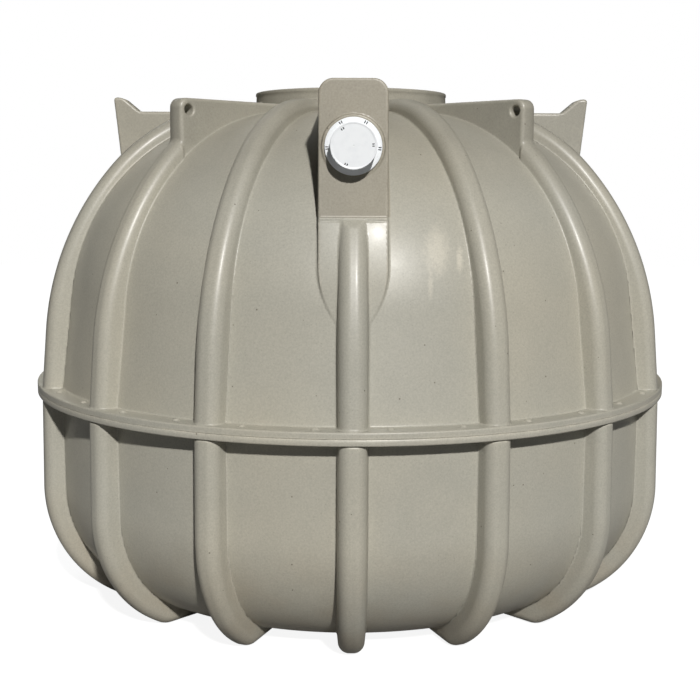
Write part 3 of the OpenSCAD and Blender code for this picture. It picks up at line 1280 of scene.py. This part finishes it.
@dataclass(frozen=True)
class PlainPlastic:
    """Smooth plastic or rubber of one colour with faint handling marks."""

    name: str
    base: Colour
    marked: Colour
    rough: float
    marks: Cloud = Cloud(45, 5, 0.45, 0.75)

    def make(self) -> bpy.types.Material:
        """Build the material.

        Returns:
            The finished material.
        """
        sheet = Sheet.new(self.name)
        place = sheet.place()
        share = sheet.math("MULTIPLY", sheet.cloud(place, self.marks), 0.5)
        return sheet.finish(
            Base_Color=sheet.mix(share, self.base, self.marked),
            Roughness=sheet.between(sheet.noise(place, 60, 3), self.rough - 0.06, self.rough + 0.08),
            Normal=sheet.bump(sheet.noise(place, 220, 3), 0.2, 0.0004),
        )


class Slot(Enum):
    """The record's material slots."""

    TANK = "tank_plastic"
    CAP = "white_plastic"
    SEAL = "black_rubber"
    PIPE = "dark_pipe_plastic"


@dataclass
class Finishes:
    """The part's materials: one for each slot, the blocks' darker plastic and the caps' ink."""

    materials: dict[Slot, bpy.types.Material] = field(init=False)
    darker_block: bpy.types.Material = field(init=False)
    ink: bpy.types.Material = field(init=False)

    def __post_init__(self) -> None:
        """Build every material once."""
        cap = PlainPlastic("cap_plastic", tone(245, 248, 251), tone(232, 236, 240), 0.38)
        rubber = PlainPlastic("seal_rubber", tone(34, 34, 36), tone(50, 49, 48), 0.55)
        pipe = PlainPlastic("pipe_plastic", tone(48, 47, 48), tone(60, 58, 56), 0.42)
        self.materials = {
            Slot.TANK: SpeckledPlastic().make(),
            Slot.CAP: cap.make(),
            Slot.SEAL: rubber.make(),
            Slot.PIPE: pipe.make(),
        }
        # Darker plastic for the blocks' faces above the ledge.
        darker_block = SpeckledPlastic(tone(161, 154, 137), tone(156, 151, 138), name="darker_block_plastic")
        self.darker_block = darker_block.make()
        self.ink = PlainPlastic("mark_ink", tone(38, 40, 44), tone(60, 62, 66), 0.5).make()

    def dress(self, obj: bpy.types.Object, slot: Slot) -> None:
        """Give a piece the material of a slot.

        Args:
            obj: The piece.
            slot: The record's slot.
        """
        obj.data.materials.append(self.materials[slot])


# ---------------------------------------------------------------------------------------------------------
# Sub-assemblies
# ---------------------------------------------------------------------------------------------------------


def report(piece: bpy.types.Object) -> None:
    """Log a finished piece and its number of faces."""
    log.info("%s: %d faces", piece.name, len(piece.data.polygons))


def bay_angle(tank: TankForm, index: int) -> float:
    """Angle that turns a rib's frame to its place, counted from the front."""
    return math.radians(index * 360 / tank.rib_count - 90)


def place_piece(skin: Skin, name: str, slot: Slot, finishes: Finishes, *nodes: str) -> bpy.types.Object:
    """Build a skin, dress it, and let it stand for its nodes.

    Args:
        skin: The piece's skin, in place.
        name: The piece's name.
        slot: The record's material slot.
        finishes: The part's materials.
        *nodes: The nodes that it stands for.

    Returns:
        The finished piece.
    """
    obj = skin.build(name)
    finishes.dress(obj, slot)
    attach(obj, "root")
    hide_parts(*nodes)
    report(obj)
    return obj


@dataclass
class Shells:
    """The two halves of the tank, turned on a lathe, and the manhole's neck."""

    tank: TankForm
    finishes: Finishes
    steps: int = 384
    seam: float = 0.0015
    bump_r: float = 0.011
    bump_h: float = 0.006
    bump_inset: float = 0.005
    rim_lip: float = 0.0025
    rim_h: float = 0.012
    rim_edge: float = 0.004

    def build(self) -> None:
        """Build the halves and the neck."""
        self._place(self.upper_profile(), "upper_shell_skin", "upper_shell", self.bumps())
        self._place(self.lower_profile(), "lower_shell_skin", "lower_shell")
        self._place(self.neck_profile(), "manhole_neck_skin", "manhole_neck")

    def _place(self, profile: np.ndarray, name: str, node: str, extra: Skin | None = None) -> None:
        """Turn a profile and place the piece, with another skin joined to it if there is one.

        Args:
            profile: The rows to turn.
            name: The piece's name.
            node: The node that it stands for.
            extra: The skin to join to it.
        """
        skin = lathe(profile, self.steps)
        if extra is not None:
            faces = np.concatenate([skin.faces, np.asarray(extra.faces) + len(skin.points)])
            skin = Skin(np.concatenate([skin.points, extra.points]), faces)
        place_piece(skin, name, Slot.TANK, self.finishes, node)

    @staticmethod
    def _on(base: Profile, rows: np.ndarray) -> np.ndarray:
        """Put a profile's rows exactly on a surface of revolution.

        Args:
            base: The surface's profile field.
            rows: Rows of distance from the axis and height.

        Returns:
            The settled rows.
        """
        points = np.stack([rows[:, 0], np.zeros(len(rows)), rows[:, 1]], 1)
        settled = settle(about_axis(base), points, 6)
        return np.stack([np.hypot(settled[:, 0], settled[:, 1]), settled[:, 2]], 1)

    def upper_profile(self) -> np.ndarray:
        """Profile of the upper half, from the seam round the outside and back down the inside.

        Returns:
            Rows of distance from the axis and height.
        """
        t = self.tank
        edge, top, joint = t.blends.flange_edge, t.flange_top, t.joint_z
        foot_r, foot = self.wall_r(top), t.blends.neck_foot
        hole = t.neck_r - t.neck_wall / 2
        outside = np.concatenate([
            line((t.flange_r, joint + self.seam), (t.flange_r, top - edge), 3)[:-1],
            arc((t.flange_r - edge, top - edge), edge, 0, math.pi / 2, 6),
            line((t.flange_r - 2 * edge, top), (foot_r + 2 * edge, top), 4)[1:],
            arc((foot_r + edge, top + edge), edge, -math.pi / 2, -math.pi, 6),
            line((self.wall_r(top + 3 * edge), top + 3 * edge), self.tangent, 16),
            arc(t.dome_centre, t.dome_r, t.wall_draft, math.pi / 2, 64)[1:],
            arc((t.neck_r + foot, self.crown + foot), foot, -math.pi / 2, -math.pi, 6)[1:],
        ])
        outside = self._on(t.upper_base, outside)
        inside = np.concatenate([
            [(hole, outside[-1, 1]), (hole, self.crown - t.wall)],
            arc(t.dome_centre, t.dome_r - t.wall, math.pi / 2, t.wall_draft, 26),
            [(self.wall_r(joint, t.wall), joint), (t.flange_r - self.seam, joint)],
        ])
        return np.concatenate([outside, inside, outside[:1]])

    @property
    def crown(self) -> float:
        """Height of the dome's top."""
        return self.tank.dome_centre[1] + self.tank.dome_r

    def wall_r(self, z: float, inset: float = 0.0) -> float:
        """Distance of the drafted wall from the axis at a height, moved in by inset.

        Args:
            z: The height.
            inset: How far inside the outer surface.

        Returns:
            The distance.
        """
        t = self.tank
        run = t.dome_r - inset - (z - t.dome_centre[1]) * math.sin(t.wall_draft)
        return t.dome_centre_r + run / math.cos(t.wall_draft)

    @property
    def tangent(self) -> Pair:
        """Where the drafted wall runs into the dome's arc."""
        (r, z), t = self.tank.dome_centre, self.tank
        return r + t.dome_r * math.cos(t.wall_draft), z + t.dome_r * math.sin(t.wall_draft)

    def lower_profile(self) -> np.ndarray:
        """Profile of the lower half, from the middle of its bottom round the outside and back inside.

        Returns:
            Rows of distance from the axis and height.
        """
        t = self.tank
        edge, under, joint = t.blends.flange_edge, t.flange_bottom, t.joint_z
        bend = -t.heel_angle
        outside = np.concatenate([
            line((0.001, t.bottom_z), (t.heel_centre[0], t.bottom_z), 14)[:-1],
            arc(t.heel_centre, t.heel_r, -math.pi / 2, bend, 6)[:-1],
            arc(t.corner_centre, t.corner_r, bend, 0, 34),
            line((t.lower_wall_r, t.corner_centre[1]), (t.lower_wall_r, under - 2 * edge), 14)[1:],
            arc((t.lower_wall_r + edge, under - edge), edge, math.pi, math.pi / 2, 6),
            line((t.lower_wall_r + 2 * edge, under), (t.flange_r - 2 * edge, under), 4),
            arc((t.flange_r - edge, under + edge), edge, -math.pi / 2, 0, 6),
            line((t.flange_r, under + 2 * edge), (t.flange_r, joint - self.seam), 2),
        ])
        outside = self._on(t.lower_base, outside)
        w = t.wall
        inside = np.concatenate([
            [(t.flange_r - self.seam, joint), (t.lower_wall_r - w, joint)],
            line((t.lower_wall_r - w, joint - 0.05), (t.lower_wall_r - w, t.corner_centre[1]), 5),
            arc(t.corner_centre, t.corner_r - w, 0, bend, 20)[1:],
            arc(t.heel_centre, t.heel_r - w, bend, -math.pi / 2, 6)[1:],
            line((t.heel_centre[0], t.bottom_z + w), (0.001, t.bottom_z + w), 10)[1:],
        ])
        return np.concatenate([outside, inside])

    def neck_profile(self) -> np.ndarray:
        """Profile of the neck with its slim rim.

        Returns:
            Rows of distance from the axis and height.
        """
        t = self.tank
        e, lip, under = self.rim_edge, self.rim_lip, self.rim_h
        top, inner = t.joint_z + t.neck_top_h, t.neck_r - t.neck_wall
        depth = top - self.crown + t.wall
        foot = t.neck_side(depth)
        return np.concatenate([
            line((foot, top - depth), (t.neck_side(under), top - under), 8),
            line((t.neck_side(under - lip) + lip, top - under + lip), (t.neck_r + lip, top - 1.3 * e), 3),
            arc((t.neck_r + lip - e, top - e), e, 0, math.pi / 2, 7),
            arc((inner + e, top - e), e, math.pi / 2, math.pi, 7),
            line((inner, top - 2 * e), (inner, top - depth), 6),
            [(foot, top - depth)],
        ])

    def bumps(self) -> Skin:
        """Domed bumps on the flange, two to a bay.

        Returns:
            All the bumps in one skin.
        """
        t = self.tank
        share = np.array([1.25, 1.12, 1.0, 0.86, 0.66, 0.4, 0.02])
        rise = np.array([-0.08, 0.01, 0.13, 0.42, 0.76, 0.95, 1.0])
        dome = lathe(np.stack([share * self.bump_r, rise * self.bump_h], 1), 20)
        ring_r = (self.wall_r(t.flange_top) + t.flange_r) / 2 - self.bump_inset
        dome = Skin(dome.points + np.array([ring_r, 0, t.flange_top]), dome.faces)
        bay = 2 * math.pi / t.rib_count
        copies = [dome.turned((n + 0.5) * bay / 2) for n in range(2 * t.rib_count)]
        points = np.concatenate([c.points for c in copies])
        faces = np.concatenate([c.faces + n * len(dome.points) for n, c in enumerate(copies)])
        return Skin(points, faces)


class RibKind(Enum):
    """What stands on an upper rib."""

    PLAIN = "nothing"
    LUG = "lifting lug"
    FIN = "side fin"
    BLOCK = "pipe block"

    @classmethod
    def at(cls, index: int, count: int) -> "RibKind":
        """The kind of a rib, counted from the inlet, out of all the ribs.

        Args:
            index: The rib's number, from 0.
            count: How many ribs there are.

        Returns:
            The rib's kind.
        """
        eighth = count // 8
        if index % eighth:
            return cls.PLAIN
        if index % (2 * eighth):
            return cls.LUG
        return cls.FIN if index % (4 * eighth) else cls.BLOCK


@dataclass
class Ribs:
    """The ribs of both halves, with what stands on them, cast over their distance fields."""

    tank: TankForm
    finishes: Finishes
    coarse: Net = Net(0.007)
    fine: Net = Net(0.005)
    side: float = 0.084
    skirt: float = 0.004
    tuck: float = 0.0002
    tuck_run: float = 0.002
    tuck_h: float = 0.001

    def build(self) -> None:
        """Build every rib and both pipe blocks."""
        tank, foot = self.tank, self.tank.blends.rib_foot
        low = (tank.foot_inner_r - 0.03, -self.side, -0.01)
        high = (tank.flange_r + 0.02, self.side, tank.flange_bottom + 0.008)
        lower = self._cast(self.coarse, tank.lower_rib, about_axis(tank.lower_body), (low, high), foot)
        base, box = about_axis(tank.upper_base), self._box(self.side, tank.neck_top_h + 0.004)
        upper = {
            RibKind.PLAIN: self._cast(self.coarse, tank.upper_rib, base, box, foot),
            RibKind.LUG: self._cast(self.fine, LugForm(tank).field, base, box, foot),
            RibKind.FIN: self._cast(self.fine, FinForm(tank).field, base, box, foot),
        }
        for n in range(tank.rib_count):
            self._place(lower, f"lower_rib_{n + 1:02d}", n)
            kind = RibKind.at(n, tank.rib_count)
            if kind in upper:
                self._place(upper[kind], f"upper_rib_{n + 1:02d}", n)
        self._blocks(base)

    def _blocks(self, base: Field) -> None:
        """Build the two pipe blocks and the short ribs under them, over the upper half's field.

        Args:
            base: Field of the upper half.
        """
        form = BlockForm(self.tank)
        box = self._box(form.width / 2 + 0.03, form.top_h + 0.02)
        skin = self._cast(self.fine, form.field, base, box, self.tank.blends.block_foot)
        middle = skin.points[np.asarray(skin.faces)].mean(1)
        ribbed = form.short_rib(middle) < np.minimum(form.plate(middle), form.shoulders(middle))
        for n, name in ((0, "inlet_block"), (self.tank.rib_count // 2, "outlet_block")):
            block = self._place(skin.part(~ribbed), name, n)
            self._darken_upper_faces(block, self.tank.joint_z + form.ledge_h)
            self._place(skin.part(ribbed), f"upper_rib_{n + 1:02d}", n)

    def _darken_upper_faces(self, block: bpy.types.Object, above: float) -> None:
        """Give a block's faces above a height the darker plastic.

        Args:
            block: The block's piece.
            above: Height of its ledge.
        """
        mesh = block.data
        mesh.materials.append(self.finishes.darker_block)
        heights = np.array([face.center.z for face in mesh.polygons])
        mesh.polygons.foreach_set("material_index", (heights > above).astype(np.int32))

    def _place(self, skin: Skin, node: str, index: int) -> bpy.types.Object:
        """Turn a skin to its bay and let it stand for a node."""
        turned = skin.turned(bay_angle(self.tank, index))
        return place_piece(turned, f"{node}_skin", Slot.TANK, self.finishes, node)

    def _box(self, half: float, top: float) -> Box:
        """Box round a form of the upper half, from half its width and its top above the joint."""
        low = (self.tank.neck_r - 0.02, -half, self.tank.flange_top - 0.012)
        return low, (self.tank.flange_r + 0.01, half, self.tank.joint_z + top)

    def _cast(self, net: Net, form: Field, base: Field, box: Box, foot: float) -> Skin:
        """Cast a form over its base and keep what stands out from the base.

        Args:
            net: The net to cast.
            form: Field of the form.
            base: Field of the surface that it grows from.
            box: Lowest and highest corner of a box that holds the form.
            foot: Radius of the hollow at the form's foot.

        Returns:
            The form's skin, whose border lies just under the base's surface.
        """

        def shape(p: np.ndarray) -> np.ndarray:
            """Distances to the form joined to its base."""
            return fillet(base(p), form(p), foot)

        skin = net.cast(shape, *box)
        near = form(skin.points) < foot + self.skirt
        skin = net.relaxed(skin.part(near[np.asarray(skin.faces)].all(1)), shape)
        beyond = np.clip((form(skin.points) - foot) / self.tuck_run, 0, 1) * (base(skin.points) < self.tuck_h)
        skin.points = skin.points - skin.normals * (self.tuck * beyond)[:, None]
        reach = np.hypot(skin.points[:, 0], skin.points[:, 1])
        skin.points[:, :2] *= np.minimum(1, self.tank.flange_r / reach)[:, None]
        return skin


@dataclass
class PipeConnection:
    """A pipe's end with its seal and cap, drawn along +Z from the block's face and then laid down."""

    tank: TankForm
    finishes: Finishes
    prefix: str
    index: int
    face_r: float = 0.9215
    pipe_h: float = 0.790
    pipe_r: float = 0.055
    pipe_wall: float = 0.0032
    seal_r: float = 0.0685
    collar_r: float = 0.078
    collar_back: float = 0.0062
    collar_t: float = 0.0085
    rim_r: float = 0.080
    rim_t: float = 0.005
    reach: float = 0.0135
    disc_r: float = 0.0645
    disc_h: float = 0.0500
    disc_t: float = 0.004
    cap_gap: float = 0.005
    cap_edge: float = 0.0015
    cap_dip: float = 0.0008
    seal_back: float = -0.03
    rim_mark: float = 0.0042
    disc_mark: float = 0.0032
    mark_w: float = 0.003
    mark_shifts: Pair = (-0.0045, 0.0015)
    mark_steps: int = 4
    depth: float = 0.258
    steps: int = 128

    def build(self) -> None:
        """Build the pipe, the seal and the cap."""
        self._place(self.pipe_profile(), "pipe", Slot.PIPE)
        self._place(self.seal_profile(), "seal", Slot.SEAL)
        self._place(self.cap_profile(), "cap", Slot.CAP)
        marks = self._laid(self.marks()).build(f"{self.prefix}_cap_marks")
        marks.data.materials.append(self.finishes.ink)
        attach(marks, "root")
        report(marks)

    def _place(self, profile: np.ndarray, part: str, slot: Slot) -> None:
        """Turn a profile and place it on the pipe's axis."""
        node = f"{self.prefix}_{part}"
        place_piece(self._laid(lathe(profile, self.steps)), f"{node}_turned", slot, self.finishes, node)

    def _laid(self, skin: Skin) -> Skin:
        """Lay a skin drawn along +Z onto the pipe's axis, pointing outward at its bay.

        Args:
            skin: The skin as drawn.

        Returns:
            The skin in place.
        """
        x, y, z = skin.points.T
        height = self.tank.joint_z + self.pipe_h
        points = np.stack([self.face_r + z, y, height - x], 1)
        return Skin(points, skin.faces).turned(bay_angle(self.tank, self.index))

    def pipe_profile(self) -> np.ndarray:
        """Plain tube whose outer end lies in the cap.

        Returns:
            Rows of distance from the axis and height.
        """
        inner, outer, back = self.pipe_r - self.pipe_wall, self.pipe_r, -self.depth
        end = self.reach + self.disc_h - self.cap_gap
        bevel = [(outer, end - 0.001), (outer - 0.001, end)]
        return np.array([(outer, back), *bevel, (inner, end), (inner, back), (outer, back)])

    def seal_profile(self) -> np.ndarray:
        """Rubber sleeve in the bore with a thin collar in front of it.

        Returns:
            Rows of distance from the axis and height.
        """
        front, back, end = self.collar_t, self.collar_back, self.seal_back
        half = (front - back) / 2
        return np.concatenate([
            [(self.pipe_r, end), (self.seal_r, end), (self.seal_r, back)],
            arc((self.collar_r - half, back + half), half, -math.pi / 2, math.pi / 2, 7),
            [(self.pipe_r, front), (self.pipe_r, end)],
        ])

    def cap_profile(self) -> np.ndarray:
        """Skirt, rim and raised middle with rounded edges.

        Returns:
            Rows of distance from the axis and height.
        """
        rim_back, front, top = self.reach - self.rim_t, self.reach, self.reach + self.disc_h
        e, r, low, under = self.cap_edge, self.disc_r, top - self.cap_dip, top - self.disc_t
        return np.concatenate([
            [(self.pipe_r, rim_back)],
            arc((self.rim_r - e, rim_back + e), e, -math.pi / 2, 0, 5),
            arc((self.rim_r - e, front - e), e, 0, math.pi / 2, 5),
            [(r + 0.004, front), (r + 0.0012, front), (r, front + 0.0012)],
            line((r, front + 0.006), (r, top - 2 * e), 4),
            arc((r - e, top - e), e, 0, math.pi / 2, 6),
            [(r - 0.004, top), (r - 0.005, low), (r - 0.007, low)],
            line((r * 0.8, low), (0.003, low), 5),
            [(0.0005, low), (0.0005, under), (self.pipe_r, under), (self.pipe_r, rim_back)],
        ])

    def marks(self) -> Skin:
        """Short plain bars printed on the cap's rim and middle.

        Returns:
            All the bars in one skin, as drawn.
        """
        middle, rim = self.disc_r - 0.0105, (self.disc_r + self.rim_r) / 2 + 0.001
        top, front = self.reach + self.disc_h - 0.0006, self.reach + 0.0001
        bars = [(rim, a, front, self.rim_mark) for a in (62, 119, 184, -5)]
        bars += [(middle, a, top, self.disc_mark) for a in (124, -112, 2)]
        points, faces = [], []
        for radius, degrees, height, half in bars:
            for shift in self.mark_shifts:
                at, start = math.radians(degrees) + shift / radius, len(points)
                for step in range(self.mark_steps + 1):
                    turn = at + step * self.mark_w / self.mark_steps / radius
                    for r in (radius - half, radius + half):
                        points.append((-r * math.sin(turn), r * math.cos(turn), height))
                faces += [(k, k + 1, k + 3, k + 2) for k in range(start, start + 2 * self.mark_steps, 2)]
        return Skin(np.array(points), np.array(faces))


# ---------------------------------------------------------------------------------------------------------
# Studio
# ---------------------------------------------------------------------------------------------------------


@dataclass(frozen=True)
class Viewpoint:
    """The camera, placed about the tank's axis."""

    distance: float = 4.1856
    height: float = 1.408
    swing: float = 0.0080
    pitch: float = math.radians(8.28)
    roll: float = 0.0037
    lens: float = 59.83
    sensor: float = 36.0
    far: float = 100.0

    def place(self) -> None:
        """Create the camera and make it the scene's own."""
        data = bpy.data.cameras.new("camera")
        data.lens = self.lens
        data.sensor_width = self.sensor
        data.clip_end = self.far
        camera = add_object("camera", data)
        east, north = self.distance * math.sin(self.swing), self.distance * math.cos(self.swing)
        camera.location = (-east, -north, self.height)
        turn = Euler((math.pi / 2 - self.pitch, 0, -self.swing)).to_matrix()
        camera.rotation_euler = (turn @ Matrix.Rotation(self.roll, 3, "Z")).to_euler()
        bpy.context.scene.camera = camera


@dataclass(frozen=True)
class Studio:
    """Pale floor, plain soft light and a white surround."""

    key: float = 3.25
    key_angle: float = math.radians(2.5)
    key_from: Triple = (0.205, -1.0, 0.68)
    key_tint: Triple = (1.0, 0.985, 0.96)
    fill: float = 1.6
    fill_angle: float = math.radians(30)
    fill_from: Triple = (-0.3, 1.0, 0.7)
    fill_tint: Triple = (0.95, 0.98, 1.0)
    sky: float = 0.02
    sky_tint: Colour = (0.90, 0.95, 1.0, 1.0)
    floor_size: float = 30.0
    floor_glow: float = 0.9
    floor_tones: tuple[Colour, Colour] = (grey(0.19), grey(0.21))

    def build(self) -> None:
        """Light the scene and lay the floor."""
        self._lamp("key", self.key, self.key_angle, self.key_from, self.key_tint)
        fill = self._lamp("fill", self.fill, self.fill_angle, self.fill_from, self.fill_tint)
        fill.visible_glossy = False
        self._surround()
        self._floor()
        bpy.context.scene.view_settings.view_transform = "Standard"

    @staticmethod
    def _lamp(
        name: str, energy: float, angle: float, origin: Sequence[float], colour: Triple
    ) -> bpy.types.Object:
        """Add one lamp.

        Args:
            name: The lamp's name.
            energy: Its strength.
            angle: How wide it looks, in radians.
            origin: Where its light comes from.
            colour: Its colour.

        Returns:
            The lamp.
        """
        data = bpy.data.lights.new(name, "SUN")
        data.energy = energy
        data.angle = angle
        data.color = colour
        lamp = add_object(name, data)
        lamp.rotation_euler = Vector(origin).to_track_quat("Z", "Y").to_euler()
        return lamp

    def _surround(self) -> None:
        """A cool even sky that shows white to the camera."""
        world = bpy.data.worlds.new("surround")
        bpy.context.scene.world = world
        world.use_nodes = True
        world.node_tree.nodes.clear()
        sheet = Sheet(world)
        lit = sheet.put(sheet.add("Background"), Color=self.sky_tint, Strength=self.sky)
        white = sheet.put(sheet.add("Background"), Color=grey(1.0), Strength=1.0)
        mixed = sheet.add("MixShader")
        seen = sheet.add("LightPath").outputs["Is Camera Ray"]
        sheet.feed_all(mixed.inputs, seen, lit.outputs[0], white.outputs[0])
        sheet.put(sheet.add("OutputWorld"), Surface=mixed.outputs[0])

    def _floor(self) -> None:
        """A wide pale floor that takes the tank's shadow and is lifted to white where nothing shades it."""
        half = self.floor_size / 2
        mesh = bpy.data.meshes.new("floor")
        corners = [(-half, -half, 0), (half, -half, 0), (half, half, 0), (-half, half, 0)]
        mesh.from_pydata(corners, [], [(0, 1, 2, 3)])
        floor = add_object("floor", mesh)
        sheet = Sheet.new("floor_paper")
        tint = sheet.mix(sheet.noise(sheet.place(), 2), *self.floor_tones)
        seen = sheet.add("LightPath").outputs["Is Camera Ray"]
        glow = sheet.math("MULTIPLY", seen, self.floor_glow)
        white = grey(1.0)
        paper = sheet.finish(Base_Color=tint, Roughness=0.9, Emission_Color=white, Emission_Strength=glow)
        mesh.materials.append(paper)


def main() -> None:
    """Load the frame, build every sub-assembly around it and light it."""
    logging.basicConfig(level=logging.INFO, format="%(name)s: %(message)s")
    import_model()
    tank = TankForm()
    finishes = Finishes()
    Shells(tank, finishes).build()
    Ribs(tank, finishes).build()
    for prefix, index in (("inlet", 0), ("outlet", tank.rib_count // 2)):
        PipeConnection(tank, finishes, prefix, index).build()
    Viewpoint().place()
    Studio().build()


if __name__ == "__main__":
    main()
